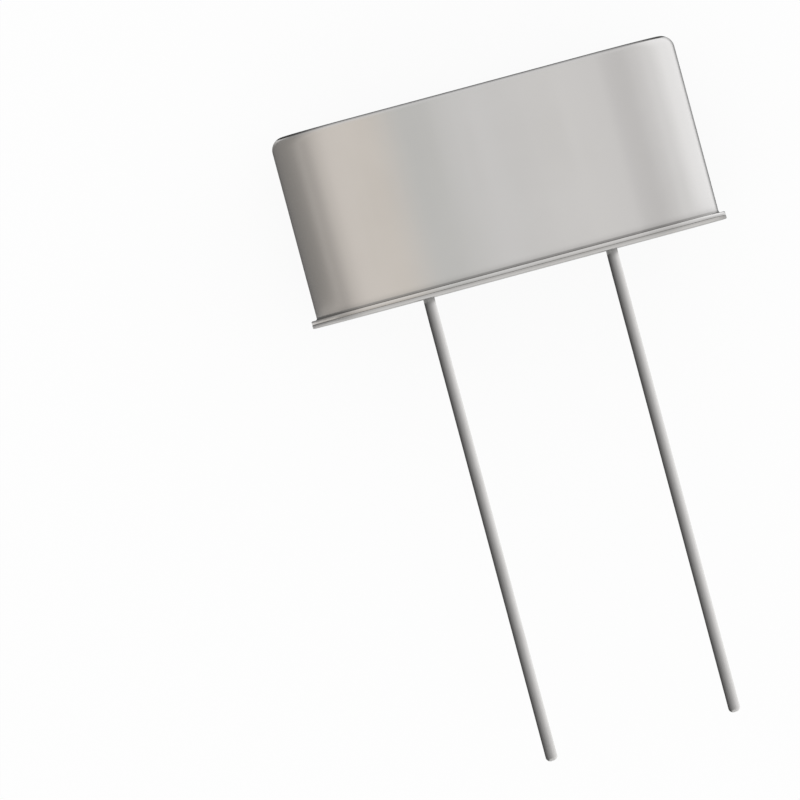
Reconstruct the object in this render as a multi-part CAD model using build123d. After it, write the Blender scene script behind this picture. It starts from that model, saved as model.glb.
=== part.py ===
from build123d import *
import os
from math import hypot

# Quartz crystal unit in a low metal case with two wire leads, lying on its broad side.
# All sizes are in millimetres. Each piece is modelled upright, with the seating plane on
# z = 0 and the case above it, and lay_down() then turns it onto its side for its file:
# X runs along the case, +Y from the seating plane to the top of the case, and +Z is up.
# The origin is the centre of the seating plane, midway between the two leads.

# ---- case outline: two half circles joined by straight sides ----
case_length = 10.73  # outside of the drawn cover, without its flange
case_width = 4.28
case_height = 5.00  # seating plane to the top of the cover
flange_overhang = 0.16  # how far both weld flanges stand out from the cover, all round

# ---- cover: one drawn sheet-metal cup with an outward flange ----
cover_wall = 0.15
cover_flange = 0.10  # pressed thinner than the wall by the welding tool
cover_top_radius = 0.35  # outside of the top edge
cover_foot_radius = 0.09  # outside of the bend where the wall turns into the flange
cover_mouth_radius = 0.06  # inside of the same bend
rim_round = 0.03  # rounded edge of both flanges

# ---- header: coined metal base, a plateau inside the cover, one eyelet hole per lead ----
header_flange = 0.10
header_height = 0.80  # seating plane to the top of the plateau
header_clearance = 0.05  # plateau to the inside of the cover
plateau_round = 0.12
eyelet_radius = 0.75

# ---- leads: round wire with a nail head inside the case, tinned outside ----
lead_pitch = 4.88
lead_length = 12.35  # seating plane to the tip
tinned_radius = 0.155
wire_radius = 0.150
tin_stop = 0.10  # the tinning ends this far below the seating plane
tin_fade = 0.60  # and thins out to nothing over this length
tip_round = 0.09
head_radius = 0.32
head_thickness = 0.12
head_gap = 0.53  # top of the plateau to the underside of the nail head

# ---- glass seals: a bead round each lead, dished at both ends ----
seal_recess = 0.03  # edge of the glass inside the mouth of the eyelet
seal_dish = 0.08  # depth of the dish between the wire and the eyelet
seal_climb = 0.10  # how far the glass climbs the wire above the plateau

# ---- spring clips: one bent strip on each nail head, slotted to take the quartz ----
clip_sheet = 0.10
clip_bend_radius = 0.10  # inside of the bend
foot_width = 1.20
foot_tail = 0.45  # how far the foot reaches past the lead, towards the middle
arm_width = 1.60
arm_headroom = 0.70  # top of the arm to the inside of the cover
arm_corner = 0.20
prong_rise = 0.10  # how far the two prongs of the arm stand above the quartz
slot_gap = 0.065  # side of the slot to the face of the quartz, filled by the adhesive

# ---- quartz: a thin strip standing on its long edge between the clips ----
quartz_thickness = 0.17
quartz_end_gap = 1.215  # end of the strip to the inside of the cover
quartz_floor_gap = 0.50  # lower edge of the strip to the foot of the clip
quartz_overrun = 0.15  # how far each end stands out of its clip
quartz_corner = 0.05

# ---- electrodes: a silver film on each face of the quartz, with a tab to one end ----
film_thickness = 0.015
pad_length = 4.40
pad_margin = 0.28  # edge of the pad to the long edge of the quartz
pad_corner = 0.20
tab_width = 0.70
tab_stop = 0.08  # end of the tab to the inner face of the clip

# ---- adhesive: a dab of silver-filled epoxy round each slot ----
dab_depth = 0.72  # along the quartz strip
dab_radius = 0.50  # across the strip
dab_round = 0.30

# ---- places that follow from the sizes above ----
straight_half = (case_length - case_width) / 2
lead_x = lead_pitch / 2
head_bottom = header_height + head_gap
head_top = head_bottom + head_thickness
foot_top = head_top + clip_sheet
arm_top = case_height - cover_wall - arm_headroom
quartz_length = case_length - 2 * (cover_wall + quartz_end_gap)
quartz_bottom = foot_top + quartz_floor_gap
quartz_top = arm_top - prong_rise
quartz_width = quartz_top - quartz_bottom
quartz_middle = (quartz_top + quartz_bottom) / 2
arm_outer_x = quartz_length / 2 - quartz_overrun
arm_inner_x = arm_outer_x - clip_sheet
arm_middle_x = (arm_outer_x + arm_inner_x) / 2

LEFT = -1
RIGHT = 1
SIDES = {"left": LEFT, "right": RIGHT}
NEAR = 1e-6  # two places closer than this are the same


def prism(offset, bottom, height):
    """A prism on the outline of the cover, offset outwards (or inwards when negative)."""
    outline = SlotOverall(case_length + 2 * offset, case_width + 2 * offset)
    return extrude(Pos(0, 0, bottom) * outline, height)


def ring(shape, offset, height):
    """The edges of a shape that follow the same offset outline at one height."""
    def on_outline(edge):
        middle = edge @ 0.5
        beyond_straight = max(abs(middle.X) - straight_half, 0)
        distance = hypot(beyond_straight, middle.Y)
        return abs(distance - case_width / 2 - offset) < NEAR and abs(middle.Z - height) < NEAR
    return shape.edges().filter_by(on_outline)


def case_cover():
    """The drawn cup with its flange, hollow and open below."""
    flange_top = header_flange + cover_flange
    cup = prism(0, header_flange, case_height - header_flange)
    cup = fillet(ring(cup, 0, case_height), cover_top_radius)
    outside = cup + prism(flange_overhang, header_flange, cover_flange)
    outside = fillet(ring(outside, 0, flange_top), cover_foot_radius)
    outside = fillet(ring(outside, flange_overhang, flange_top), rim_round)
    bore_top = case_height - cover_wall
    bore = prism(-cover_wall, header_flange, bore_top - header_flange)
    bore = fillet(ring(bore, -cover_wall, bore_top), cover_top_radius - cover_wall)
    shell = outside - bore
    return fillet(ring(shell, -cover_wall, header_flange), cover_mouth_radius)


def header_base():
    """The metal base: its flange, the plateau that enters the cover, and two eyelet holes."""
    plateau_offset = -cover_wall - header_clearance
    plateau = prism(plateau_offset, 0, header_height)
    plateau = fillet(ring(plateau, plateau_offset, header_height), plateau_round)
    base = plateau + prism(flange_overhang, 0, header_flange)
    base = fillet(ring(base, flange_overhang, 0), rim_round)
    for side in SIDES.values():
        base -= Pos(side * lead_x, 0, 0) * Cylinder(eyelet_radius, 2 * header_height)
    return base


def lead(side):
    """One wire, turned about its axis: rounded tip, tinned length, bare length and nail head."""
    tip_corner = (tinned_radius, -lead_length)
    section = make_face(Polyline(
        (0, -lead_length), tip_corner,
        (tinned_radius, -tin_stop - tin_fade), (wire_radius, -tin_stop),
        (wire_radius, head_bottom), (head_radius, head_bottom),
        (head_radius, head_top), (0, head_top), close=True))
    section = fillet(section.vertices().sort_by_distance(tip_corner)[0], tip_round)
    return Pos(side * lead_x, 0, 0) * revolve(Plane.XZ * section, Axis.Z)


def glass_seal(side):
    """The glass bead between one lead and its eyelet, turned about the lead."""
    dish_radius = (wire_radius + eyelet_radius) / 2
    bottom_at_wire = (wire_radius, seal_recess)
    bottom_dish = (dish_radius, seal_recess + seal_dish)
    bottom_at_wall = (eyelet_radius, seal_recess)
    top_at_wall = (eyelet_radius, header_height - seal_recess)
    top_dish = (dish_radius, header_height - seal_dish)
    top_at_wire = (wire_radius, header_height + seal_climb)
    section = make_face([
        ThreePointArc(bottom_at_wire, bottom_dish, bottom_at_wall),
        Line(bottom_at_wall, top_at_wall),
        ThreePointArc(top_at_wall, top_dish, top_at_wire),
        Line(top_at_wire, bottom_at_wire),
    ])
    return Pos(side * lead_x, 0, 0) * revolve(Plane.XZ * section, Axis.Z)


def blank_clip(side):
    """One spring strip: a foot on the nail head, a bend, and an upright arm with an open slot."""
    tail_x = lead_x - foot_tail
    outer_corner = (arm_outer_x, head_top)
    inner_corner = (arm_inner_x, foot_top)
    profile = make_face(Polyline(
        (tail_x, head_top), outer_corner, (arm_outer_x, arm_top), (arm_inner_x, arm_top),
        inner_corner, (tail_x, foot_top), close=True))
    outer_radius = clip_bend_radius + clip_sheet
    profile = fillet(profile.vertices().sort_by_distance(outer_corner)[0], outer_radius)
    profile = fillet(profile.vertices().sort_by_distance(inner_corner)[0], clip_bend_radius)
    strip = extrude(Plane.XZ * profile, arm_width / 2, both=True)

    notch_length = arm_outer_x - outer_radius - tail_x
    notch_width = (arm_width - foot_width) / 2
    notch = Box(notch_length, notch_width, 2 * clip_sheet)
    for edge in (-1, 1):
        notch_y = edge * (foot_width + notch_width) / 2
        strip -= Pos(tail_x + notch_length / 2, notch_y, (head_top + foot_top) / 2) * notch

    slot_width = quartz_thickness + 2 * slot_gap
    slot_height = arm_top - quartz_bottom
    slot = Box(2 * clip_sheet, slot_width, slot_height)
    strip -= Pos(arm_middle_x, 0, quartz_bottom + slot_height / 2) * slot

    def is_outer_corner(edge):
        middle = edge @ 0.5
        return abs(middle.Z - arm_top) < NEAR and abs(abs(middle.Y) - arm_width / 2) < NEAR
    strip = fillet(strip.edges().filter_by(Axis.X).filter_by(is_outer_corner), arm_corner)
    return strip if side == RIGHT else mirror(strip, Plane.YZ)


def quartz_blank():
    """The quartz strip, on edge, with its upright end corners taken off."""
    blank = Pos(0, 0, quartz_middle) * Box(quartz_length, quartz_thickness, quartz_width)
    return chamfer(blank.edges().filter_by(Axis.Z), quartz_corner)


def electrode(face, side):
    """One silver film on the face of the quartz towards -Y or +Y, with its tab to one side."""
    pad = RectangleRounded(pad_length, quartz_width - 2 * pad_margin, pad_corner)
    tab_end = arm_inner_x - tab_stop
    tab = Pos(side * tab_end / 2, 0) * Rectangle(tab_end, tab_width)
    film = Rot(X=90) * extrude(pad + tab, film_thickness / 2, both=True)
    return Pos(0, face * (quartz_thickness + film_thickness) / 2, quartz_middle) * film


def adhesive(side, held):
    """One dab round a slot, less the quartz, the clip and the films that it holds."""
    disc = Cylinder(dab_radius, dab_depth)
    disc = fillet(disc.edges().filter_by(GeomType.CIRCLE), dab_round)
    dab = Pos(side * arm_middle_x, 0, quartz_middle) * Rot(Y=90) * disc
    for piece in held:
        dab -= piece
    return dab


def lay_down(piece):
    """Turns an upright piece onto its broad side, so that the top of the case points to +Y."""
    return Rot(X=-90) * piece


def build():
    """Every piece, still upright, by the name of its node."""
    parts = {"case_cover": case_cover(), "header_base": header_base(), "quartz_blank": quartz_blank()}
    parts["electrode_front"] = electrode(-1, LEFT)
    parts["electrode_back"] = electrode(1, RIGHT)
    for name, side in SIDES.items():
        parts[f"lead_{name}"] = lead(side)
        parts[f"glass_seal_{name}"] = glass_seal(side)
        clip = blank_clip(side)
        held = [parts["quartz_blank"], parts["electrode_front"], parts["electrode_back"], clip]
        parts[f"blank_clip_{name}"] = clip
        parts[f"adhesive_{name}"] = adhesive(side, held)
    return parts


os.makedirs("parts", exist_ok=True)
for node, piece in build().items():
    export_step(lay_down(piece), f"parts/{node}.step")
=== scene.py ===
"""The looks of a quartz crystal unit: a low metal can on its broad side, with two tinned leads.

All lengths are in metres. X runs along the can, +Y from the seating plane to the top of the can,
and +Z is up. Each visible piece is built as a fine mesh round the box of the part that it replaces.
"""
import logging
import math
from collections.abc import Callable, Iterable
from dataclasses import dataclass, field, replace
from enum import Enum
from functools import cache

import bmesh
import bpy
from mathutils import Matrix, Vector, noise


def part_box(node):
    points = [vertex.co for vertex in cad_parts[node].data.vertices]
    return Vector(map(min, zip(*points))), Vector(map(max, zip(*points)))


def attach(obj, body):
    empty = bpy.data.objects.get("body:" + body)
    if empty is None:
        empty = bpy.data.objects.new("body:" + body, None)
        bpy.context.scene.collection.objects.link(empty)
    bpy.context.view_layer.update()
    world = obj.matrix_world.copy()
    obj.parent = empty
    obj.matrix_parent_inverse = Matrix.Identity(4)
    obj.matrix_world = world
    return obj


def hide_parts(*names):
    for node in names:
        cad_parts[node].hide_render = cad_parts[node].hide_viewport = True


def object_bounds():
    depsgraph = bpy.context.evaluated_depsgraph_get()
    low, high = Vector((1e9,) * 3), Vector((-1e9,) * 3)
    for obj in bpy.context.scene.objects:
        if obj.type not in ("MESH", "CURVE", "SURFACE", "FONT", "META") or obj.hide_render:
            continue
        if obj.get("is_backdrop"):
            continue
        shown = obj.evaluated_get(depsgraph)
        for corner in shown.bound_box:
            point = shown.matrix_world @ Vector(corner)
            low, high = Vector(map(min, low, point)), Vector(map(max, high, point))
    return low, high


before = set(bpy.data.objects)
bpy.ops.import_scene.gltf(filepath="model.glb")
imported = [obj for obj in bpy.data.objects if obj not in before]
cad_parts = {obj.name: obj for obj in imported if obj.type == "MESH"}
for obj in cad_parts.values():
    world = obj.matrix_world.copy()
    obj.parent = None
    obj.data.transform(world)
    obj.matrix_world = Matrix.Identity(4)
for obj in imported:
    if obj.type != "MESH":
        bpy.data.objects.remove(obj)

MM = 0.001
MICRON = 0.000001
BODY = "root"
WELD_DISTANCE = 0.2 * MICRON
SHARP_ANGLE = math.radians(38)

Color = tuple[float, float, float]
Levels = tuple[tuple[float, float], ...]  # how bright, by angle or distance
Group = bpy.types.NodeTree
Loop = list[bmesh.types.BMVert]
Material = bpy.types.Material
Piece = bpy.types.Object
Socket = bpy.types.NodeSocket

log = logging.getLogger("crystal_unit")


class Side(Enum):
    """The two ends of the can."""

    LEFT = -1
    RIGHT = 1

    @property
    def label(self) -> str:
        """The word that names of pieces on this side end with."""
        return self.name.lower()


class Mask(Enum):
    """The values that a mesh carries from point to point for its material."""

    WEAR = "wear"
    # painted shade in creases, and the dark flange seams
    CREASE = "crease"
    LEVEL = "level"


# ---- outlines and sections ----


@dataclass(frozen=True)
class Station:
    """One point of a section, which a mesh carries round an outline.

    `out` is the distance outwards from the outline and `y` the height above the seating plane.
    """

    out: float
    y: float
    wear: float = 0.0
    crease: float = 0.0


@dataclass(frozen=True)
class Outline:
    """Two half circles joined by straight sides round the Y axis, or a circle with no straights."""

    radius: float
    straight_half: float = 0.0
    middle_x: float = 0.0
    arc_steps: int = 96
    straight_steps: int = 64

    def ring(self, station: Station) -> list[Vector]:
        """Places one ring of points.

        Args:
            station: how far out and how high the ring lies.

        Returns:
            The points, once round, starting at the lower right.
        """
        reach = max(self.radius + station.out, 0.0)
        points = []
        for end, start_angle in ((1, -math.pi / 2), (-1, math.pi / 2)):
            centre = self.middle_x + end * self.straight_half
            for step in range(self.arc_steps):
                angle = start_angle + math.pi * step / self.arc_steps
                across = Vector((math.cos(angle), 0.0, math.sin(angle)))
                points.append(Vector((centre, station.y, 0.0)) + reach * across)
            if not self.straight_half:
                continue
            for step in range(self.straight_steps):
                along = centre - end * 2 * self.straight_half * step / self.straight_steps
                points.append(Vector((along, station.y, end * reach)))
        return points


def bend(out: float, y: float, radius: float, start: float, stop: float, steps: int = 8,
         **masks: float) -> list[Station]:
    """Makes the stations of a rounded corner.

    Args:
        out: place of the corner's centre, outwards.
        y: height of the corner's centre.
        radius: radius of the corner.
        start: first angle in degrees, from outwards towards +Y.
        stop: last angle in degrees.
        steps: number of spans.
        masks: values of the masks on the corner.

    Returns:
        The stations in order.
    """
    stations = []
    for step in range(steps + 1):
        angle = math.radians(start + (stop - start) * step / steps)
        place = (out + radius * math.cos(angle), y + radius * math.sin(angle))
        stations.append(Station(*place, **masks))
    return stations


def run(first: tuple[float, float], last: tuple[float, float], steps: int) -> list[Station]:
    """Makes the stations inside a straight stretch, without its two ends.

    Args:
        first: (out, y) where the stretch starts.
        last: (out, y) where it ends.
        steps: number of spans.

    Returns:
        The stations in order.
    """
    shares = [step / steps for step in range(1, steps)]
    return [Station(*(a + (b - a) * share for a, b in zip(first, last))) for share in shares]


class Skin:
    """A mesh that grows ring by ring, with its masks."""

    def __init__(self) -> None:
        """Starts an empty mesh with a layer for each mask."""
        self.mesh = bmesh.new()
        self.layers = {mask: self.mesh.verts.layers.float.new(mask.value) for mask in Mask}

    def sweep(self, outline: Outline, stations: list[Station],
              closed: bool = False) -> list[Loop]:
        """Carries a section round an outline.

        Args:
            outline: the path of the section.
            stations: the section.
            closed: True joins the last station to the first.

        Returns:
            The rings of new points, one for each station.
        """
        rings = []
        for station in stations:
            ring = [self.mesh.verts.new(point) for point in outline.ring(station)]
            for vert in ring:
                vert[self.layers[Mask.WEAR]] = station.wear
                vert[self.layers[Mask.CREASE]] = station.crease
            rings.append(ring)
        following = rings[1:] + rings[:1] if closed else rings[1:]
        for lower, upper in zip(rings, following):
            count = len(lower)
            for here in range(count):
                after = (here + 1) % count
                self.mesh.faces.new((lower[here], lower[after], upper[after], upper[here]))
        return rings

    def fill(self, loops: Iterable[Loop]) -> None:
        """Closes a flat region.

        Args:
            loops: the outer loop and the loops of the holes inside it.
        """
        edges = []
        for loop in loops:
            pairs = zip(loop, loop[1:] + loop[:1])
            edges += [self.mesh.edges.get(pair) or self.mesh.edges.new(pair) for pair in pairs]
        bmesh.ops.triangle_fill(self.mesh, use_beauty=True, edges=edges)

    def move(self, shift: Callable[[Vector], Vector]) -> None:
        """Moves every point by what the given function answers for it."""
        for vert in self.mesh.verts:
            vert.co += shift(vert.co)

    def settle(self, name: str) -> Piece:
        """Makes an object of the mesh as it is, and puts it in the scene.

        Args:
            name: name of the object.

        Returns:
            The object.
        """
        data = bpy.data.meshes.new(name)
        self.mesh.to_mesh(data)
        self.mesh.free()
        piece = bpy.data.objects.new(name, data)
        bpy.context.scene.collection.objects.link(piece)
        return piece

    def finish(self, name: str) -> Piece:
        """Welds the seams of the mesh and makes an object of it.

        Args:
            name: name of the object.

        Returns:
            The object, smooth, with its sharp edges kept.
        """
        bmesh.ops.remove_doubles(self.mesh, verts=self.mesh.verts[:], dist=WELD_DISTANCE)
        bmesh.ops.dissolve_degenerate(self.mesh, edges=self.mesh.edges[:], dist=WELD_DISTANCE)
        bmesh.ops.recalc_face_normals(self.mesh, faces=self.mesh.faces[:])
        piece = self.settle(name)
        piece.data.shade_smooth()
        piece.data.set_sharp_from_angle(angle=SHARP_ANGLE)
        weighted = piece.modifiers.new("Even normals", "WEIGHTED_NORMAL")
        weighted.keep_sharp = True
        return piece


# ---- shader nodes ----


class Graph:
    """Adds nodes to one node tree and links them."""

    def __init__(self, tree: bpy.types.NodeTree) -> None:
        """Empties the tree and keeps it."""
        tree.nodes.clear()
        self.tree = tree

    def node(self, kind: str, inputs: dict | None = None, **settings: object) -> bpy.types.Node:
        """Adds one node.

        Args:
            kind: the node's type.
            inputs: sockets or plain values, by name or number of the input.
            settings: the node's own settings.

        Returns:
            The node.
        """
        made = self.tree.nodes.new(kind)
        for key, value in settings.items():
            setattr(made, key, value)
        for key, value in (inputs or {}).items():
            self.put(made.inputs[key], value)
        return made

    def put(self, socket: Socket, value: object) -> None:
        """Fills one input.

        Args:
            socket: the input.
            value: an output to link to it, or a plain value.
        """
        if isinstance(value, Socket):
            self.tree.links.new(value, socket)
        elif isinstance(value, tuple) and len(value) == 3 and socket.type == "RGBA":
            socket.default_value = (*value, 1.0)
        else:
            socket.default_value = value

    def math(self, operation: str, first: object, second: object = 0.0,
             clamp: bool = False) -> Socket:
        """Adds a Math node.

        Args:
            operation: what it works out.
            first: its first value.
            second: its second value.
            clamp: True keeps the result between 0 and 1.

        Returns:
            The result.
        """
        made = self.node("ShaderNodeMath", {0: first, 1: second}, operation=operation)
        made.use_clamp = clamp
        return made.outputs[0]

    def swing(self, value: Socket, width: float) -> Socket:
        """Brings a value between 0 and 1 round 0, and widens it."""
        return self.math("MULTIPLY", self.math("SUBTRACT", value, 0.5), width)

    def mix(self, factor: object, first: object, second: object, blend: str = "MIX") -> Socket:
        """Adds a colour Mix node.

        Args:
            factor: share of the second colour.
            first: the first colour.
            second: the second colour.
            blend: how the two are mixed.

        Returns:
            The mixed colour.
        """
        made = self.node("ShaderNodeMix", data_type="RGBA", blend_type=blend)
        for socket, value in zip((made.inputs[0], made.inputs[6], made.inputs[7]),
                                 (factor, first, second)):
            self.put(socket, value)
        return made.outputs[2]

    def rescale(self, value: object, low: float, high: float, to_low: float = 0.0,
                to_high: float = 1.0) -> Socket:
        """Maps a range of values smoothly to another range.

        Args:
            value: what is mapped.
            low: start of its range.
            high: end of its range.
            to_low: result at the start and before it.
            to_high: result at the end and past it.

        Returns:
            The result.
        """
        inputs = {"Value": value, "From Min": low, "From Max": high, "To Min": to_low,
                  "To Max": to_high}
        made = self.node("ShaderNodeMapRange", inputs, interpolation_type="SMOOTHSTEP")
        return made.outputs[0]

    def noise(self, place: Socket, scale: object, detail: float, roughness: float = 0.5,
              output: str = "Fac") -> Socket:
        """Adds a noise texture.

        Args:
            place: where it is read.
            scale: its scale, per metre.
            detail: its finer layers.
            roughness: how strong they are.
            output: name of the output.

        Returns:
            The output.
        """
        inputs = {"Vector": place, "Scale": scale, "Detail": detail, "Roughness": roughness}
        return self.node("ShaderNodeTexNoise", inputs).outputs[output]

    def bump(self, height: Socket, distance: float, over: Socket | None = None) -> Socket:
        """Adds a Bump node.

        Args:
            height: the height, from 0 to 1.
            distance: how far a height of 1 stands out, in metres.
            over: the normal that it starts from.

        Returns:
            The normal.
        """
        inputs = {"Height": height, "Distance": distance, "Strength": 1.0}
        if over is not None:
            inputs["Normal"] = over
        return self.node("ShaderNodeBump", inputs).outputs[0]

    def ramp(self, factor: Socket, stops: Iterable[tuple[float, object]]) -> Socket:
        """Adds a colour ramp that eases from stop to stop.

        Args:
            factor: what runs along the ramp.
            stops: (place, grey level or colour) in order.

        Returns:
            The ramp's colour.
        """
        made = self.node("ShaderNodeValToRGB", {0: factor})
        made.color_ramp.interpolation = "EASE"
        elements = made.color_ramp.elements
        while len(elements) > 1:
            elements.remove(elements[0])
        for number, (place, tone) in enumerate(stops):
            stop = elements[0] if number == 0 else elements.new(place)
            stop.position = place
            stop.color = (*tone, 1.0) if isinstance(tone, tuple) else (tone, tone, tone, 1.0)
        return made.outputs[0]

    def place(self) -> Socket:
        """Adds a Texture Coordinate node and returns the place in the object, in metres."""
        return self.node("ShaderNodeTexCoord").outputs["Object"]

    def mask(self, mask: Mask) -> Socket:
        """Reads one of the mesh's masks."""
        return self.node("ShaderNodeAttribute", attribute_name=mask.value).outputs["Fac"]

    def effect(self, group: Group, **inputs: object) -> bpy.types.NodeOutputs:
        """Adds a copy of a shared effect with its own values and returns its outputs."""
        titled = {key.replace("_", " ").title(): value for key, value in inputs.items()}
        return self.node("ShaderNodeGroup", titled, node_tree=group).outputs

    def surface(self, shader: bpy.types.Node, kind: str = "Material") -> None:
        """Makes a shader the surface of the material or the world."""
        self.node(f"ShaderNodeOutput{kind}", {"Surface": shader.outputs[0]})


class EffectGraph(Graph):
    """The inside of a shared effect, which is a node group with named inputs and outputs."""

    def __init__(self, name: str, inputs: dict[str, str], outputs: dict[str, str]) -> None:
        """Starts the group.

        Args:
            name: name of the group.
            inputs: types of its input sockets by name.
            outputs: types of its output sockets by name.
        """
        super().__init__(bpy.data.node_groups.new(name, "ShaderNodeTree"))
        for direction, sockets in (("INPUT", inputs), ("OUTPUT", outputs)):
            for key, kind in sockets.items():
                self.tree.interface.new_socket(name=key, in_out=direction,
                                               socket_type=f"NodeSocket{kind}")
        self.entry = self.node("NodeGroupInput").outputs
        self.leave = self.node("NodeGroupOutput").inputs

    def give(self, results: dict[str, Socket]) -> Group:
        """Links the results to the outputs of the group.

        Args:
            results: what each output gives, by name.

        Returns:
            The group.
        """
        for key, socket in results.items():
            self.put(self.leave[key], socket)
        return self.tree


class Effects:
    """The effects that several finishes share, each built the first time it is asked for."""

    PLACE_AND_SCALE = {"Place": "Vector", "Scale": "Float"}
    MOST_NOISE = (0.3, 0.7)  # nearly all values of a soft noise lie between these
    COARSE_SCALE = 0.17  # of the coarse grain, against the fine one
    FINE_WEIGHT = 0.6
    MARK_LAYERS = ((1.0, 0.012, 0.02), (0.13, 0.05, 0.05))  # scale, length, lean in radians
    PATCH_SCALE = 2600.0
    WEAR_SHARES = (0.45, 1.0)  # the least and the most that noise leaves of the wear
    CREASE_NOISE = (0.2, 0.8)
    CREASE_SHARES = (0.85, 1.0)
    WARP = 0.4 * MM

    @classmethod
    @cache
    def grain(cls) -> Group:
        """Builds the fine even grain of a pickled or plated surface, of two sizes of noise.

        Returns:
            The group.
        """
        graph = EffectGraph("Fine grain", cls.PLACE_AND_SCALE, {"Height": "Float", "Tone": "Float"})
        place, scale = graph.entry["Place"], graph.entry["Scale"]
        fine = graph.noise(place, scale, detail=3.0, roughness=0.6)
        coarse_scale = graph.math("MULTIPLY", scale, cls.COARSE_SCALE)
        coarse = graph.noise(place, coarse_scale, detail=2.0)
        tone = graph.math("ADD", graph.math("MULTIPLY", fine, cls.FINE_WEIGHT),
                          graph.math("MULTIPLY", coarse, 1 - cls.FINE_WEIGHT))
        return graph.give({"Height": fine, "Tone": tone})

    @classmethod
    @cache
    def draw_marks(cls) -> Group:
        """Builds faint long marks along the Y axis, as a drawing die leaves on sheet and wire.

        Returns:
            The group.
        """
        graph = EffectGraph("Draw marks", cls.PLACE_AND_SCALE,
                            {"Height": "Float", "Broad": "Float"})
        layers = []
        for share, length, lean in cls.MARK_LAYERS:
            leaning = graph.node("ShaderNodeMapping", {
                "Vector": graph.entry["Place"], "Rotation": (0.0, 0.0, lean),
                "Scale": (1.0, length, 1.0)}).outputs[0]
            scale = graph.math("MULTIPLY", graph.entry["Scale"], share)
            layers.append(graph.noise(leaning, scale, detail=2.0))
        fine, broad = layers
        return graph.give({"Height": fine, "Broad": graph.rescale(broad, *cls.MOST_NOISE)})

    @classmethod
    @cache
    def handled(cls) -> Group:
        """Builds a colour that is lighter on worn edges and darker in creases. The darkening is
        painted shade in the crease at the can's foot and where each wire meets the base, and the
        dark line of the flange seams.

        Returns:
            The group.
        """
        graph = EffectGraph("Worn edges", {
            "Place": "Vector", "Color": "Color", "Edge Color": "Color", "Crease Color": "Color",
            "Wear": "Float", "Crease": "Float"}, {"Color": "Color"})
        entry = graph.entry
        patchy = graph.noise(entry["Place"], cls.PATCH_SCALE, detail=3.0)
        wear = graph.math("MULTIPLY", entry["Wear"], graph.rescale(
            patchy, *cls.MOST_NOISE, *cls.WEAR_SHARES), clamp=True)
        crease = graph.math("MULTIPLY", entry["Crease"], graph.rescale(
            patchy, *cls.CREASE_NOISE, *cls.CREASE_SHARES), clamp=True)
        rubbed = graph.mix(wear, entry["Color"], entry["Edge Color"])
        return graph.give({"Color": graph.mix(crease, rubbed, entry["Crease Color"])})

    @classmethod
    @cache
    def clouds(cls) -> Group:
        """Builds soft uneven patches, as a thin film or a dried residue makes.

        Returns:
            The group.
        """
        graph = EffectGraph("Soft clouds", cls.PLACE_AND_SCALE, {"Value": "Float"})
        place, scale = graph.entry["Place"], graph.entry["Scale"]
        warp = graph.noise(place, scale, detail=2.0, output="Color")
        small_warp = graph.node("ShaderNodeVectorMath", {0: warp, 3: cls.WARP},
                                operation="SCALE").outputs[0]
        moved = graph.node("ShaderNodeVectorMath", {0: place, 1: small_warp},
                           operation="ADD").outputs[0]
        soft = graph.noise(moved, scale, detail=4.0)
        return graph.give({"Value": graph.rescale(soft, *cls.MOST_NOISE)})


# ---- finishes ----


def start_material(name: str) -> tuple[Material, Graph]:
    """Starts a material.

    Args:
        name: name of the material.

    Returns:
        The material, and the graph of its nodes, still empty.
    """
    material = bpy.data.materials.new(name)
    material.use_nodes = True
    return material, Graph(material.node_tree)


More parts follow.
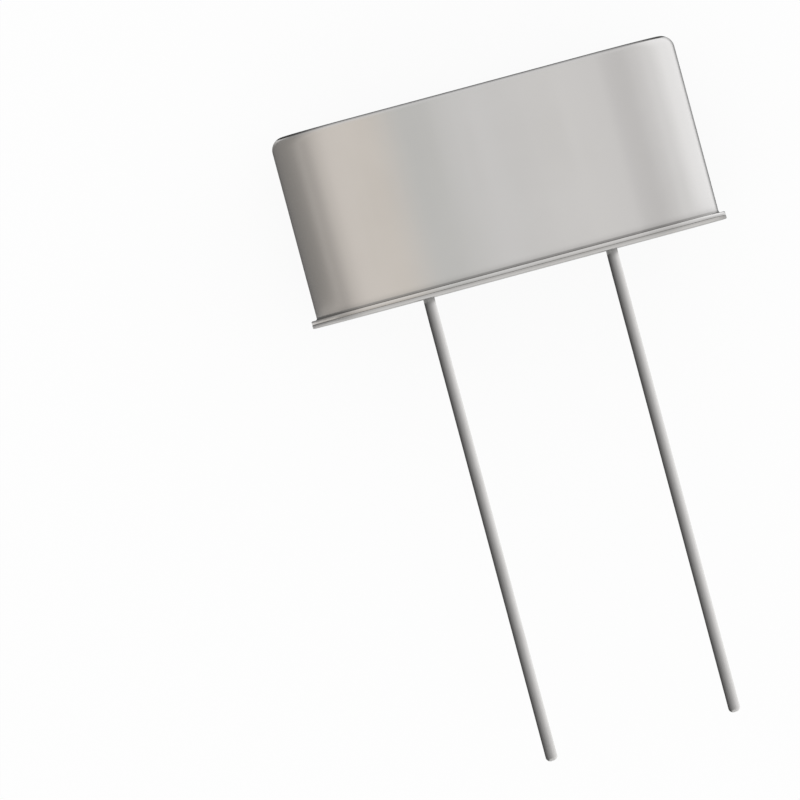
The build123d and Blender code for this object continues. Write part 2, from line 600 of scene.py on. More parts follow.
@dataclass(frozen=True)
class MetalFinish:
    """Plated, tinned, coined or bare metal."""

    name: str
    color: Color
    shade: Color
    edge: Color
    # crease: colour of the painted shade in creases and of the dark seams
    crease: Color = (0.10, 0.095, 0.09)
    rim_reflectance: Color = (1.0, 1.0, 1.0)
    roughness: float = 0.3
    roughness_spread: float = 0.03
    grain_scale: float = 30000.0
    grain_depth: float = 0.05 * MICRON
    mark_scale: float = 9000.0
    mark_depth: float = 0.10 * MICRON
    cloud_scale: float = 420.0
    # bands: painted reflections, tints by place that stand in for the surroundings mirrored in the
    # metal
    bands: tuple[tuple[float, Color], ...] = ()
    band_half_width: float = 1.0
    band_lean: float = 0.015
    band_wander: float = 0.35 * MM
    band_wander_scale: float = 260.0
    band_fade: tuple[float, float] = (0.6, 0.98)  # Y of the normals between which they fade out

    def material(self) -> Material:
        """Builds the material.

        Returns:
            The material.
        """
        material, graph = start_material(self.name)
        place = graph.place()
        grain = graph.effect(Effects.grain(), place=place, scale=self.grain_scale)
        marks = graph.effect(Effects.draw_marks(), place=place, scale=self.mark_scale)
        cloud = graph.effect(Effects.clouds(), place=place, scale=self.cloud_scale)
        blotch = graph.math("MULTIPLY", cloud["Value"], marks["Broad"])
        color = graph.mix(blotch, self.color, self.shade)
        if self.bands:
            facing = graph.node("ShaderNodeNewGeometry").outputs["Normal"]
            upward = graph.node("ShaderNodeSeparateXYZ", {0: facing}).outputs["Y"]
            # the painted reflections fade out on faces that turn towards +Y
            drawn_wall = graph.rescale(upward, *self.band_fade, 1.0, 0.0)
            color = graph.mix(drawn_wall, color, self.banding(graph, place), blend="MULTIPLY")
        handled = graph.effect(
            Effects.handled(), place=place, color=color, edge_color=self.edge,
            crease_color=self.crease, wear=graph.mask(Mask.WEAR), crease=graph.mask(Mask.CREASE))
        rough = graph.math("ADD", self.roughness,
                           graph.swing(grain["Tone"], 2 * self.roughness_spread))
        smudged = graph.math("MULTIPLY", cloud["Value"], self.roughness_spread)
        drawn = graph.bump(marks["Height"], self.mark_depth,
                           over=graph.bump(grain["Height"], self.grain_depth))
        graph.surface(graph.node("ShaderNodeBsdfPrincipled", {
            "Base Color": handled["Color"], "Metallic": 1.0,
            "Roughness": graph.math("ADD", rough, smudged, clamp=True),
            "Specular Tint": self.rim_reflectance, "Normal": drawn}))
        return material

    def banding(self, graph: Graph, place: Socket) -> Socket:
        """Adds the broad soft bands that run from the foot of the can to its top, which are painted
        reflections: warm and cool tints that stand in for the surroundings mirrored in the metal.

        Args:
            graph: where the nodes go.
            place: the place in the object.

        Returns:
            The colour that the finish is multiplied by.
        """
        leaning = graph.node("ShaderNodeMapping", {
            "Vector": place, "Rotation": (0.0, 0.0, self.band_lean)}).outputs[0]
        across = graph.node("ShaderNodeSeparateXYZ", {0: leaning}).outputs["X"]
        wander = graph.noise(place, self.band_wander_scale, detail=1.0)
        moved = graph.math("ADD", across, graph.swing(wander, self.band_wander))
        share = graph.math("DIVIDE", moved, 2 * self.band_half_width)
        return graph.ramp(graph.math("ADD", share, 0.5), self.bands)


@dataclass(frozen=True)
class GlassFinish:
    """Dark sealing glass or clear crystal."""

    name: str
    color: Color
    shade: Color
    roughness: float = 0.08
    roughness_spread: float = 0.06
    transmission: float = 0.0
    ior: float = 1.5
    cloud_scale: float = 900.0
    grain_scale: float = 4500.0
    ripple: float = 0.4 * MICRON

    def material(self) -> Material:
        """Builds the material.

        Returns:
            The material.
        """
        material, graph = start_material(self.name)
        place = graph.place()
        grain = graph.effect(Effects.grain(), place=place, scale=self.grain_scale)
        cloud = graph.effect(Effects.clouds(), place=place, scale=self.cloud_scale)
        spread = graph.math("MULTIPLY", grain["Tone"], self.roughness_spread)
        graph.surface(graph.node("ShaderNodeBsdfPrincipled", {
            "Base Color": graph.mix(cloud["Value"], self.color, self.shade),
            "Roughness": graph.math("ADD", self.roughness, spread), "IOR": self.ior,
            "Transmission Weight": self.transmission,
            "Normal": graph.bump(cloud["Value"], self.ripple)}))
        return material


@dataclass(frozen=True)
class PasteFinish:
    """Cured epoxy filled with silver flakes."""

    name: str
    color: Color
    flake: Color
    flake_scale: float = 14000.0
    flake_edges: tuple[float, float] = (0.55, 0.75)  # of the random values that become flakes
    flake_metallic: float = 0.9
    lump_scale: float = 4000.0
    lump_height: float = 8.0 * MICRON
    roughness: tuple[float, float] = (0.4, 0.6)

    def material(self) -> Material:
        """Builds the material.

        Returns:
            The material.
        """
        material, graph = start_material(self.name)
        place = graph.place()
        cells = graph.node("ShaderNodeTexVoronoi", {"Vector": place, "Scale": self.flake_scale})
        pick = graph.node("ShaderNodeSeparateColor", {0: cells.outputs["Color"]}).outputs[0]
        flakes = graph.rescale(pick, *self.flake_edges)
        grain = graph.effect(Effects.grain(), place=place, scale=self.lump_scale)
        graph.surface(graph.node("ShaderNodeBsdfPrincipled", {
            "Base Color": graph.mix(flakes, self.color, self.flake),
            "Metallic": graph.math("MULTIPLY", flakes, self.flake_metallic),
            "Roughness": graph.rescale(grain["Tone"], *Effects.MOST_NOISE, *self.roughness),
            "Normal": graph.bump(grain["Height"], self.lump_height)}))
        return material


# Painted reflections: warm and cool tints across the can, standing in for its surroundings mirrored
# in the metal.
CAN_BANDS = (
    (0.00, (1.00, 0.945, 0.885)),
    (0.11, (1.00, 0.935, 0.865)),
    (0.21, (1.00, 0.935, 0.86)),
    (0.33, (0.875, 0.87, 0.845)),
    (0.50, (1.00, 0.985, 0.97)),
    (0.70, (1.04, 1.02, 1.00)),
    (0.84, (1.00, 0.98, 0.965)),
    (1.00, (1.00, 0.99, 0.985)),
)

CAN_METAL = MetalFinish(
    name="satin_nickel_can", color=(0.575, 0.572, 0.570), shade=(0.555, 0.552, 0.548),
    edge=(0.66, 0.655, 0.645), crease=(0.20, 0.195, 0.19),
    roughness=0.24, roughness_spread=0.015, grain_depth=0.02 * MICRON,
    mark_depth=0.05 * MICRON, bands=CAN_BANDS, band_half_width=5.365 * MM)
# The narrow band round the can's shoulder, which reflects less the more edge-on it is seen: painted
# shade, a dark outline along the can's top edge.
CAN_EDGE_METAL = replace(CAN_METAL, name="satin_nickel_edge", rim_reflectance=(0.0, 0.0, 0.0))
BASE_METAL = MetalFinish(
    name="coined_base", color=(0.545, 0.535, 0.52), shade=(0.50, 0.49, 0.475),
    edge=(0.62, 0.61, 0.60), crease=(0.16, 0.155, 0.15), roughness=0.34,
    rim_reflectance=(0.5, 0.5, 0.5), grain_depth=0.3 * MICRON, mark_depth=0.05 * MICRON)
LEAD_METAL = MetalFinish(
    name="tinned_wire", color=(0.56, 0.552, 0.543), shade=(0.515, 0.506, 0.497),
    edge=(0.66, 0.65, 0.64), crease=(0.22, 0.215, 0.21), roughness=0.38,
    grain_depth=0.25 * MICRON, mark_scale=14000.0, cloud_scale=900.0)
CLIP_METAL = MetalFinish(
    name="rolled_spring_metal", color=(0.55, 0.53, 0.49), shade=(0.50, 0.48, 0.44),
    edge=(0.62, 0.60, 0.56), roughness=0.28, mark_depth=0.3 * MICRON)
SILVER_FILM = MetalFinish(
    name="evaporated_silver", color=(0.80, 0.79, 0.77), shade=(0.74, 0.73, 0.70),
    edge=(0.82, 0.81, 0.79), roughness=0.18, mark_depth=0.0, grain_depth=0.08 * MICRON)
SEAL_GLASS = GlassFinish(
    name="dark_sealing_glass", color=(0.030, 0.040, 0.036), shade=(0.050, 0.062, 0.056))
QUARTZ = GlassFinish(
    name="lapped_quartz", color=(0.93, 0.95, 0.94), shade=(0.88, 0.91, 0.90), roughness=0.22,
    transmission=0.85, ior=1.544)
SILVER_PASTE = PasteFinish(
    name="silver_paste", color=(0.30, 0.29, 0.275), flake=(0.66, 0.65, 0.63))


def dress(piece: Piece, material: Material) -> None:
    """Gives a piece one material in all its slots."""
    piece.data.materials.clear()
    piece.data.materials.append(material)


# ---- the pieces ----


def soft_noise(x: float, y: float, z: float = 0.0) -> float:
    """Returns a smooth noise between 0 and 1."""
    return 0.5 + 0.5 * noise.noise(Vector((x, y, z)))


@dataclass
class CasePart:
    """A piece on the outline of the drawn wall, with a weld flange that stands out from it."""

    node: str
    overhang: float = 0.16 * MM
    flange: float = 0.10 * MM
    rim_radius: float = 0.03 * MM
    rim_wear: float = 0.5
    rim_steps: int = 5
    seam_radius: float = 0.015 * MM
    seam_crease: float = 0.3
    seam_steps: int = 4
    low: Vector = field(init=False)
    high: Vector = field(init=False)

    def __post_init__(self) -> None:
        """Reads the place of the piece."""
        self.low, self.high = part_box(self.node)

    @property
    def outline(self) -> Outline:
        """The outline of the drawn wall."""
        radius = self.high.z - self.overhang
        return Outline(radius=radius, straight_half=self.high.x - self.overhang - radius)


@dataclass
class Can(CasePart):
    """The drawn cup with its out-turned weld flange."""

    node: str = "case_cover"
    wall: float = 0.15 * MM
    wall_steps: int = 16
    top_radius: float = 0.35 * MM
    top_steps: int = 9
    shoulder_steps: int = 16
    foot_radius: float = 0.05 * MM
    # painted shade: the foot of the wall and the wall just above it darken towards the crease
    # colour, where the wall meets the flange
    foot_crease: float = 0.85
    foot_steps: int = 8
    mouth_radius: float = 0.06 * MM
    top_sag: float = 0.015 * MM
    face_bow: float = 0.010 * MM
    face_wave: float = 0.0025 * MM
    wave_scales: tuple[float, float, float] = (700.0, 160.0, 90.0)
    crease_reach: float = 0.16 * MM  # how far the crease fades up the wall
    crease_depth: float = 0.35
    crease_steps: int = 7
    # edge_start and edge_stop bound the band of painted edge shade
    edge_start: float = math.radians(55)  # the band of edge metal, from the wall at 0
    edge_stop: float = math.radians(88)

    def outside(self) -> list[Station]:
        """Makes the outer section of the can.

        Returns:
            The stations from the middle of the top, over the wall, to the flange's rim.
        """
        radius = self.outline.radius
        top, flange_top = self.high.y, self.low.y + self.flange
        shoulder, foot = top - self.top_radius, flange_top + self.foot_radius
        stations = [Station(-radius, top)]
        stations += run((-radius, top), (-self.top_radius, top), self.top_steps)
        stations += bend(-self.top_radius, shoulder, self.top_radius, 90, 0, self.shoulder_steps)
        stations += run((0.0, shoulder), (0.0, foot + self.crease_reach), self.wall_steps)
        # painted shade in the crease above the flange, deepening towards the foot
        for step in range(self.crease_steps):
            share = step / self.crease_steps
            crease = self.crease_depth * share ** 1.5
            stations.append(Station(0.0, foot + self.crease_reach * (1 - share), crease=crease))
        stations += bend(self.foot_radius, foot, self.foot_radius, 180, 270, self.foot_steps,
                         crease=self.foot_crease)
        rim = self.overhang - self.rim_radius
        stations += bend(rim, flange_top - self.rim_radius, self.rim_radius, 90, 0,
                         self.rim_steps, wear=self.rim_wear)
        seam = self.overhang - self.seam_radius
        stations += bend(seam, self.low.y + self.seam_radius, self.seam_radius, 0, -90,
                         self.seam_steps, crease=self.seam_crease)
        return stations

    def inside(self) -> list[Station]:
        """Makes the inner section of the can.

        Returns:
            The stations from the flange's underside, up the bore, to the middle of its top.
        """
        radius, bore_top = self.outline.radius, self.high.y - self.wall
        bore_radius = self.top_radius - self.wall
        stations = bend(self.mouth_radius - self.wall, self.low.y + self.mouth_radius,
                        self.mouth_radius, 270, 180, self.seam_steps)
        stations += bend(-self.top_radius, bore_top - bore_radius, bore_radius, 0, 90,
                         self.rim_steps)
        return stations + [Station(-radius, bore_top)]

    def relief(self, point: Vector) -> Vector:
        """Works out how far the drawn sheet strays from flat at one point.

        Args:
            point: the point before it moves.

        Returns:
            The shift, always inwards, fading out at the foot, the top and the rounded ends.
        """
        outline = self.outline
        height = (point.y - self.low.y) / (self.high.y - self.low.y)
        along = min(abs(point.x) / (outline.straight_half + outline.radius), 1.0)
        fade = max(math.sin(math.pi * min(max(height, 0.0), 1.0)), 0.0) ** 0.5
        fade *= (1 - along ** 4)
        wave = soft_noise(*(place * scale for place, scale in zip(point, self.wave_scales)))
        depth = (self.face_bow * (1 - along ** 2) + self.face_wave * wave) * fade
        across = max(-1.0, min(1.0, point.z / outline.radius))
        shift = Vector((0.0, 0.0, -across * depth))
        top_share = max(0.0, (point.y - self.high.y) / self.wall + 1)
        from_rim = 1 - min(1.0, abs(across)) ** 2
        shift.y = -self.top_sag * top_share * from_rim * (1 - along ** 2)
        return shift

    def build(self) -> Piece:
        """Builds, places and dresses the can.

        Returns:
            The can.
        """
        skin = Skin()
        skin.sweep(self.outline, self.outside() + self.inside())
        skin.move(self.relief)
        piece = skin.finish("can")
        dress(piece, CAN_METAL.material())
        # painted shade: a dark outline on the faces of the shoulder that turn up
        piece.data.materials.append(CAN_EDGE_METAL.material())
        shoulder = self.high.y - self.top_radius
        for face in piece.data.polygons:
            turned_up = self.edge_start < math.asin(min(face.normal.y, 1.0)) < self.edge_stop
            face.material_index = int(turned_up and face.center.y > shoulder)
        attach(piece, BODY)
        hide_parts(self.node)
        return piece


@dataclass
class Eyelet:
    """A round hole through the base, with softened mouths."""

    middle_x: float
    radius: float
    depth: float
    mouth_radius: float = 0.03 * MM
    mouth_wear: float = 0.4
    mouth_steps: int = 4
    steps: int = 48

    def sweep(self, skin: Skin) -> tuple[Loop, Loop]:
        """Adds the wall of the hole.

        Args:
            skin: the mesh of the base.

        Returns:
            The loops of points at the lower and the upper mouth.
        """
        mouth = self.mouth_radius
        stations = bend(mouth, mouth, mouth, 270, 180, self.mouth_steps, wear=self.mouth_wear)
        stations += bend(mouth, self.depth - mouth, mouth, 180, 90, self.mouth_steps,
                         wear=self.mouth_wear)
        circle = Outline(radius=self.radius, middle_x=self.middle_x, arc_steps=self.steps)
        rings = skin.sweep(circle, stations)
        return rings[0], rings[-1]


@dataclass
class Base(CasePart):
    """The coined base: its flange, the plateau that enters the can, and the two eyelets."""

    node: str = "header_base"
    plateau_inset: float = 0.20 * MM
    plateau_radius: float = 0.12 * MM
    border: float = 0.04 * MM  # flat ring between each bend and the filled face

    def section(self) -> list[Station]:
        """Makes the section of the base.

        Returns:
            The stations from the underside, round the rim, to the top of the plateau.
        """
        rim = self.overhang - self.rim_radius
        stations = [Station(rim - self.border, self.low.y)]
        stations += bend(rim, self.low.y + self.rim_radius, self.rim_radius, 270, 360,
                         self.rim_steps, wear=self.rim_wear)
        stations += bend(self.overhang - self.seam_radius, self.flange - self.seam_radius,
                         self.seam_radius, 0, 90, self.seam_steps, crease=self.seam_crease)
        stations.append(Station(-self.plateau_inset, self.flange))
        stations += bend(-self.plateau_inset - self.plateau_radius,
                         self.high.y - self.plateau_radius, self.plateau_radius, 0, 90,
                         self.rim_steps)
        last = stations[-1]
        return stations + [Station(last.out - self.border, last.y)]

    def build(self) -> Piece:
        """Builds, places and dresses the base.

        Returns:
            The base.
        """
        skin = Skin()
        rings = skin.sweep(self.outline, self.section())
        mouths = []
        for side in Side:
            seal_low, seal_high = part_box(f"glass_seal_{side.label}")
            middle = (seal_low.x + seal_high.x) / 2
            eyelet = Eyelet(middle, radius=seal_high.z, depth=self.high.y)
            mouths.append(eyelet.sweep(skin))
        skin.fill([rings[0]] + [lower for lower, _ in mouths])
        skin.fill([rings[-1]] + [upper for _, upper in mouths])
        piece = skin.finish("base")
        dress(piece, BASE_METAL.material())
        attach(piece, BODY)
        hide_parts(self.node)
        return piece


@dataclass
class Lead:
    """One wire: rounded tip, tinned length, bare length and nail head."""

    side: Side
    tip_radius: float = 0.12 * MM
    tinned_radius: float = 0.155 * MM
    wire_radius: float = 0.150 * MM
    tin_stop: float = 0.10 * MM
    tin_fade: float = 0.60 * MM
    head_thickness: float = 0.12 * MM
    head_round: float = 0.02 * MM
    ring_gap: float = 0.22 * MM
    tin_unevenness: float = 0.0015 * MM
    tin_scale: float = 900.0
    side_gap: float = 7.0  # keeps the noise of the two wires apart
    stop_crease: float = 0.15
    # painted shade: the wire darkens towards the crease colour where it meets the base
    seat_crease: float = 0.55
    tip_steps: int = 8
    fade_steps: int = 5
    head_steps: int = 3
    steps: int = 32

    def section(self, tip: float, head: float, head_radius: float) -> list[Station]:
        """Works out the turned section of the wire.

        Args:
            tip: height of the tip, which is below the seating plane.
            head: height of the top of the nail head.
            head_radius: radius of the nail head.

        Returns:
            The stations from the tip to the head, as distances from the wire's axis.
        """
        flat = self.tinned_radius - self.tip_radius
        stations = [Station(0.0, tip)]
        stations += bend(flat, tip + self.tip_radius, self.tip_radius, 270, 360, self.tip_steps)
        start, stop = tip + self.tip_radius, -self.tin_stop - self.tin_fade
        rings = round((stop - start) / self.ring_gap)
        for station in run((self.tinned_radius, start), (self.tinned_radius, stop), rings):
            dip = self.tin_unevenness * soft_noise(
                self.side.value * self.side_gap, station.y * self.tin_scale)
            stations.append(Station(self.tinned_radius - dip, station.y))
        stations.append(Station(self.tinned_radius, stop))
        stations += run((self.tinned_radius, stop), (self.wire_radius, -self.tin_stop),
                        self.fade_steps)
        stations.append(Station(self.wire_radius, -self.tin_stop, crease=self.stop_crease))
        # painted shade in the recess where the wire meets the base
        stations.append(Station(self.wire_radius, 0.0, crease=self.seat_crease))
        stations.append(Station(self.wire_radius, head - self.head_thickness))
        edge = head_radius - self.head_round
        stations += bend(edge, head - self.head_thickness + self.head_round, self.head_round,
                         270, 360, self.head_steps)
        stations += bend(edge, head - self.head_round, self.head_round, 0, 90, self.head_steps)
        return stations + [Station(0.0, head)]

    def build(self, material: Material) -> Piece:
        """Builds, places and dresses the wire.

        Args:
            material: its finish.

        Returns:
            The wire.
        """
        node = f"lead_{self.side.label}"
        low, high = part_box(node)
        axis = Outline(radius=0.0, middle_x=(low.x + high.x) / 2, arc_steps=self.steps)
        skin = Skin()
        skin.sweep(axis, self.section(low.y, high.y, high.z))
        piece = skin.finish(f"wire_{self.side.label}")
        dress(piece, material)
        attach(piece, BODY)
        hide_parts(node)
        return piece


@dataclass
class Seal:
    """The glass bead between one wire and its eyelet, dished at both ends."""

    side: Side
    wire_radius: float = 0.150 * MM
    recess: float = 0.03 * MM
    dish: float = 0.08 * MM
    steps: int = 64
    dish_steps: int = 24

    def meniscus(self, bore: float, at_wire: float, at_wall: float, depth: float) -> list[Station]:
        """Works out the dished end of the bead, from the wire to the eyelet.

        Args:
            bore: radius of the eyelet.
            at_wire: height of the glass on the wire.
            at_wall: height of the glass on the eyelet.
            depth: how far the middle stands off the straight line, along Y.

        Returns:
            The stations, as distances from the wire's axis.
        """
        stations = []
        for step in range(self.dish_steps + 1):
            share = step / self.dish_steps
            straight = at_wire + (at_wall - at_wire) * share
            hollow = depth * 4 * share * (1 - share)
            stations.append(Station(self.wire_radius + (bore - self.wire_radius) * share,
                                    straight + hollow))
        return stations

    def build(self, material: Material) -> Piece:
        """Builds, places and dresses the bead.

        Args:
            material: its finish.

        Returns:
            The bead.
        """
        node = f"glass_seal_{self.side.label}"
        low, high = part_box(node)
        base_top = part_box("header_base")[1].y
        section = self.meniscus(high.z, low.y, self.recess, self.dish)
        upper = self.meniscus(high.z, high.y, base_top - self.recess, -self.dish)
        axis = Outline(radius=0.0, middle_x=(low.x + high.x) / 2, arc_steps=self.steps)
        skin = Skin()
        skin.sweep(axis, section + upper[::-1], closed=True)
        piece = skin.finish(f"glass_bead_{self.side.label}")
        dress(piece, material)
        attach(piece, BODY)
        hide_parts(node)
        return piece


@dataclass
class Works:
    """What the closed can holds: the quartz, its films, the spring clips and the paste."""

    finishes: tuple[tuple[str, GlassFinish | MetalFinish | PasteFinish], ...] = (
        ("quartz_blank", QUARTZ), ("electrode", SILVER_FILM), ("blank_clip", CLIP_METAL),
        ("adhesive", SILVER_PASTE))

    def dress(self) -> list[str]:
        """Dresses the inner nodes.

        Returns:
            Their names.
        """
        dressed = []
        for start, finish in self.finishes:
            material = finish.material()
            for name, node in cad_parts.items():
                if name.startswith(start):
                    dress(node, material)
                    dressed.append(name)
        return dressed


# ---- the studio ----


def turn_towards_x(direction: Vector) -> float:
    """Works out how far a mirror is turned towards +X when it shows this direction from above.

    Args:
        direction: where the mirror shows, as a unit vector.

    Returns:
        Twice the turn, in degrees, which is the angle from straight up where Y is 0.
    """
    return 2 * math.degrees(math.atan2(direction.x, direction.z + 1.0))


def card_paper() -> Material:
    """Builds the material of the cards: a card's level in front, clear behind.

    Returns:
        The material.
    """
    material, graph = start_material("card_paper")
    material.cycles.emission_sampling = "NONE"
    glow = graph.node("ShaderNodeEmission", {"Strength": graph.mask(Mask.LEVEL)})
    clear = graph.node("ShaderNodeBsdfTransparent")
    behind = graph.node("ShaderNodeNewGeometry").outputs["Backfacing"]
    graph.surface(graph.node("ShaderNodeMixShader", {
        0: behind, 1: glow.outputs[0], 2: clear.outputs[0]}))
    return material


def hang(skin: Skin, rows: list[Loop], name: str) -> Piece:
    """Makes a staged card, which only shiny surfaces show.

    Args:
        skin: the mesh, with its points and their levels.
        rows: the points, row by row.
        name: name of the card.

    Returns:
        The card.
    """
    for near, far in zip(rows, rows[1:]):
        for quad in zip(near, near[1:], far[1:], far):
            skin.mesh.faces.new(quad)
    card = skin.settle(name)
    for kind in ("camera", "diffuse", "shadow", "transmission", "volume_scatter"):
        setattr(card, f"visible_{kind}", False)
    dress(card, card_paper())
    card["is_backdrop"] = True
    return card


@dataclass(frozen=True)
class Card:
    """A curved studio card under one side of a shiny piece, seen only in its reflections.

    It bends round an axis along Y, faces that axis, and is clear from behind. Past `edge_y` its
    levels turn with the direction from the axis, so that they run on over a rounded edge.
    """

    name: str
    axis_x: float
    reach: float
    start_y: float
    stop_y: float
    levels: Levels
    first_angle: float
    last_angle: float
    floor: float
    edge_y: float
    steps: int = 48

    def level(self, angle: float) -> float:
        """Works out how bright the card is.

        Args:
            angle: turn of the direction in degrees, 0 straight up and 90 towards +X.

        Returns:
            The level, eased between the two nearest levels of the card.
        """
        for (first, first_level), (last, last_level) in zip(self.levels, self.levels[1:]):
            if angle <= last:
                share = max(angle - first, 0.0) / (last - first)
                share = share * share * (3 - 2 * share)
                return first_level + (last_level - first_level) * share
        return self.levels[-1][1]

    def build(self) -> Piece:
        """Builds and dresses the card.

        Returns:
            The card.
        """
        skin = Skin()
        heights = [self.start_y, self.stop_y]
        past = self.stop_y - self.edge_y
        if past > 0:  # rows past the edge, closest together next to it
            heights[1:] = [self.edge_y + past * (step / self.steps) ** 2
                           for step in range(self.steps + 1)]
        rows = []
        for step in range(self.steps + 1):
            angle = self.first_angle + (self.last_angle - self.first_angle) * step / self.steps
            x = self.reach * math.sin(math.radians(angle))
            z = self.reach * math.cos(math.radians(angle))
            if z < self.floor:
                x, z = x * self.floor / z, self.floor
            row = []
            for y in heights:
                vert = skin.mesh.verts.new((self.axis_x + x, y, z))
                direction = Vector((x, max(y - self.edge_y, 0.0), z)).normalized()
                vert[skin.layers[Mask.LEVEL]] = self.level(turn_towards_x(direction))
                row.append(vert)
            rows.append(row)
        return hang(skin, rows, self.name)


@dataclass(frozen=True)
class FloorCard:
    """A flat studio card on the floor, under the can and past its top, seen only in reflections.

    `levels` gives how bright it is at each distance past `edge_y`. Its dark part under the can is
    painted shadow: it stands in for the can's shadow on the floor, as the can's underside reflects
    it.
    """

    name: str
    half_width: float
    edge_y: float
    floor: float
    # dark under the can for the painted shadow, brightening past its top
    levels: Levels = ((-4.6 * MM, 0.12), (-0.3 * MM, 0.12), (0.2 * MM, 0.35), (0.8 * MM, 0.75),
                      (1.8 * MM, 0.95))

    def build(self) -> Piece:
        """Builds and dresses the card.

        Returns:
            The card.
        """
        skin = Skin()
        rows = []
        for distance, level in self.levels:
            row = [skin.mesh.verts.new((x, self.edge_y + distance, self.floor))
                   for x in (-self.half_width, self.half_width)]
            for vert in row:
                vert[skin.layers[Mask.LEVEL]] = level
            rows.append(row)
        return hang(skin, rows, self.name)


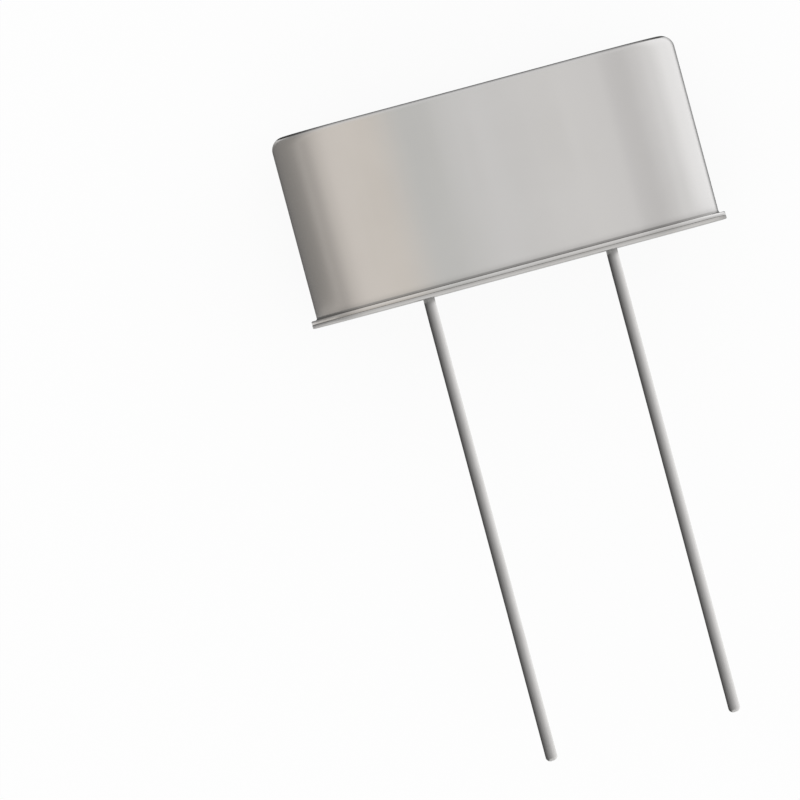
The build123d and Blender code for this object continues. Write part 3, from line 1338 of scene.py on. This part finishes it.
@dataclass
class Studio:
    """A pale floor, a soft sky, one soft lamp, the reflection cards and the camera."""

    floor_half: float = 2.0
    floor_color: Color = (0.93, 0.93, 0.93)
    floor_white: float = 0.90  # share of plain white in what is seen of the floor
    lamp_place: tuple[float, float, float] = (0.16, 0.10, 0.16)
    lamp_size: float = 0.12
    lamp_power: float = 0.012
    # The dark strip past 126 degrees on the right and the darkest levels towards straight down on
    # the left are painted shade: they stand in for the shaded floor beside and under the can, as
    # its sides reflect it.
    can_levels: Levels = (
        (-176, 0.15), (-137, 0.15), (-125, 0.20), (-119, 0.285), (-111, 0.34), (-103, 0.37),
        (-90, 0.42), (-70, 0.64), (-56, 0.86), (-40, 0.99), (0, 1.0), (14, 0.90), (36, 0.87),
        (58, 0.98), (70, 1.07), (80, 1.19), (95, 1.31), (107, 1.29), (114, 1.28), (121, 1.30),
        (123.5, 1.05), (126, 0.20), (176, 0.15))
    can_angles: tuple[int, int] = (70, 176)
    can_reach: float = 7.0 * MM
    can_start: float = 0.22 * MM
    can_top_radius: float = 0.35 * MM
    can_past: float = 14.0 * MM  # how far its cards reach past its top
    wire_levels: Levels = (
        (-178, 0.05), (-92, 0.07), (-61, 0.16), (-32, 0.32), (0, 0.54), (55, 1.06), (88, 1.34),
        (112, 1.45), (178, 1.2))
    wire_angle: int = 178
    wire_reach: float = 0.34 * MM
    wire_past: float = 0.3 * MM  # how far its card reaches past its tip
    wire_gap: float = 0.10 * MM  # seating plane to the card
    card_lift: float = 0.02 * MM  # floor to the lowest cards
    floor_card_lift: float = 0.01 * MM  # from there to the floor card
    floor_card_margin: float = 0.6 * MM
    sky_levels: Levels = (
        (-115, 0.40), (-92, 0.46), (-75, 0.60), (-56, 0.86), (-40, 0.99), (0, 1.0), (14, 0.90),
        (36, 0.87), (58, 0.98), (80, 1.12), (100, 1.25))
    lens: float = 900.0
    view_width: float = 20.64 * MM
    view_turn: float = math.radians(-15)
    view_offset: tuple[float, float] = (-3.835 * MM, 1.335 * MM)
    clip_factor: float = 10.0

    def floor(self) -> None:
        """Lays the floor under the part."""
        low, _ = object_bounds()
        skin = Skin()
        half = self.floor_half
        ends = [(-half, -half), (half, -half), (half, half), (-half, half)]
        skin.mesh.faces.new([skin.mesh.verts.new((x, y, low.z)) for x, y in ends])
        floor = skin.settle("floor")
        dress(floor, self.floor_material())
        floor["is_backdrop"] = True

    def seen_directly(self, graph: Graph) -> Socket:
        """Adds what tells sight from light.

        Args:
            graph: where the nodes go.

        Returns:
            1 for rays from the camera, a shiny surface or glass, and 0 for light.
        """
        path = graph.node("ShaderNodeLightPath").outputs
        mirrored = graph.math("MAXIMUM", path["Is Glossy Ray"], path["Is Transmission Ray"])
        return graph.math("MAXIMUM", path["Is Camera Ray"], mirrored)

    def floor_material(self) -> Material:
        """Builds the white floor, which keeps a light shadow.

        Returns:
            The material.
        """
        material, graph = start_material("white_floor")
        material.cycles.emission_sampling = "NONE"
        matt = graph.node("ShaderNodeBsdfDiffuse", {"Color": self.floor_color})
        white = graph.node("ShaderNodeEmission", {"Strength": 1.0})
        share = graph.math("MULTIPLY", self.seen_directly(graph), self.floor_white)
        graph.surface(graph.node("ShaderNodeMixShader", {
            0: share, 1: matt.outputs[0], 2: white.outputs[0]}))
        return material

    def sky(self) -> None:
        """Sets a soft studio sky, grey low on the left, white above and bright on the right."""
        world = bpy.data.worlds.new("soft_sky")
        bpy.context.scene.world = world
        world.use_nodes = True
        graph = Graph(world.node_tree)
        direction = graph.node("ShaderNodeTexCoord").outputs["Generated"]
        parts = graph.node("ShaderNodeSeparateXYZ", {0: direction}).outputs
        half_turn = graph.math("ARCTAN2", parts["X"], graph.math("ADD", parts["Z"], 1.0))
        share = graph.math("ADD", graph.math("DIVIDE", half_turn, math.pi), 0.5)
        tone = graph.ramp(share, [(0.5 + angle / 360, level) for angle, level in self.sky_levels])
        graph.surface(graph.node("ShaderNodeBackground", {"Color": tone, "Strength": 1.0}), "World")

    def lamp(self) -> None:
        """Hangs one soft lamp high on the right, which reflections don't show."""
        data = bpy.data.lights.new("soft_lamp", "AREA")
        data.size = self.lamp_size
        data.energy = self.lamp_power
        lamp = bpy.data.objects.new("soft_lamp", data)
        bpy.context.scene.collection.objects.link(lamp)
        lamp.location = self.lamp_place
        lamp.visible_glossy = False
        lamp.rotation_euler = (-lamp.location).to_track_quat("-Z", "Y").to_euler()

    def cards(self) -> list[Piece]:
        """Sets dark cards low on the left of the shiny pieces and bright ones on the right.

        Returns:
            The cards.
        """
        _, can_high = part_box("case_cover")
        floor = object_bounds()[0].z + self.card_lift
        end_x = can_high.x - can_high.z
        shoulder = can_high.y - self.can_top_radius
        can_y = (self.can_start, can_high.y + self.can_past)
        made = [FloorCard("card_can_top", can_high.x + self.floor_card_margin, can_high.y,
                          floor + self.floor_card_lift).build()]
        for side in Side:
            angles = sorted(side.value * angle for angle in self.can_angles)
            made.append(Card(f"card_can_{side.label}", side.value * end_x, self.can_reach, *can_y,
                             self.can_levels, *angles, floor, shoulder).build())
            wire_low, wire_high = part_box(f"lead_{side.label}")
            axis_x = (wire_low.x + wire_high.x) / 2
            wire_y = (wire_low.y - self.wire_past, -self.wire_gap)
            made.append(Card(f"card_wire_{side.label}", axis_x, self.wire_reach, *wire_y,
                             self.wire_levels, -self.wire_angle, self.wire_angle, floor,
                             wire_y[1]).build())
        return made

    def camera(self) -> None:
        """Sets the camera straight above the part, turned a little, with a long lens."""
        low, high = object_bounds()
        middle = (low + high) / 2
        data = bpy.data.cameras.new("camera")
        data.lens = self.lens
        distance = self.view_width * self.lens / data.sensor_width
        data.clip_start, data.clip_end = distance / self.clip_factor, distance * self.clip_factor
        camera = bpy.data.objects.new("camera", data)
        bpy.context.scene.collection.objects.link(camera)
        camera.location = (middle.x + self.view_offset[0], middle.y + self.view_offset[1], distance)
        camera.rotation_euler = (0.0, 0.0, self.view_turn)
        bpy.context.scene.camera = camera

    def build(self) -> None:
        """Builds the whole studio."""
        self.camera()
        self.floor()
        self.sky()
        self.lamp()
        cards = self.cards()
        log.info("studio: floor, sky, lamp, camera and %d cards", len(cards))


def main() -> None:
    """Builds the pieces and the studio in order."""
    logging.basicConfig(level=logging.INFO, format="%(name)s: %(message)s")
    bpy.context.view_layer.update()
    Studio().build()
    pieces = [Can().build(), Base().build()]
    wire, glass = LEAD_METAL.material(), SEAL_GLASS.material()
    for side in Side:
        pieces.append(Lead(side).build(wire))
        pieces.append(Seal(side).build(glass))
    for piece in pieces:
        log.info("%s: %d faces", piece.name, len(piece.data.polygons))
    for name in Works().dress():
        log.info("%s: dressed", name)
    bpy.context.scene.view_settings.view_transform = "Standard"


if __name__ == "__main__":
    main()
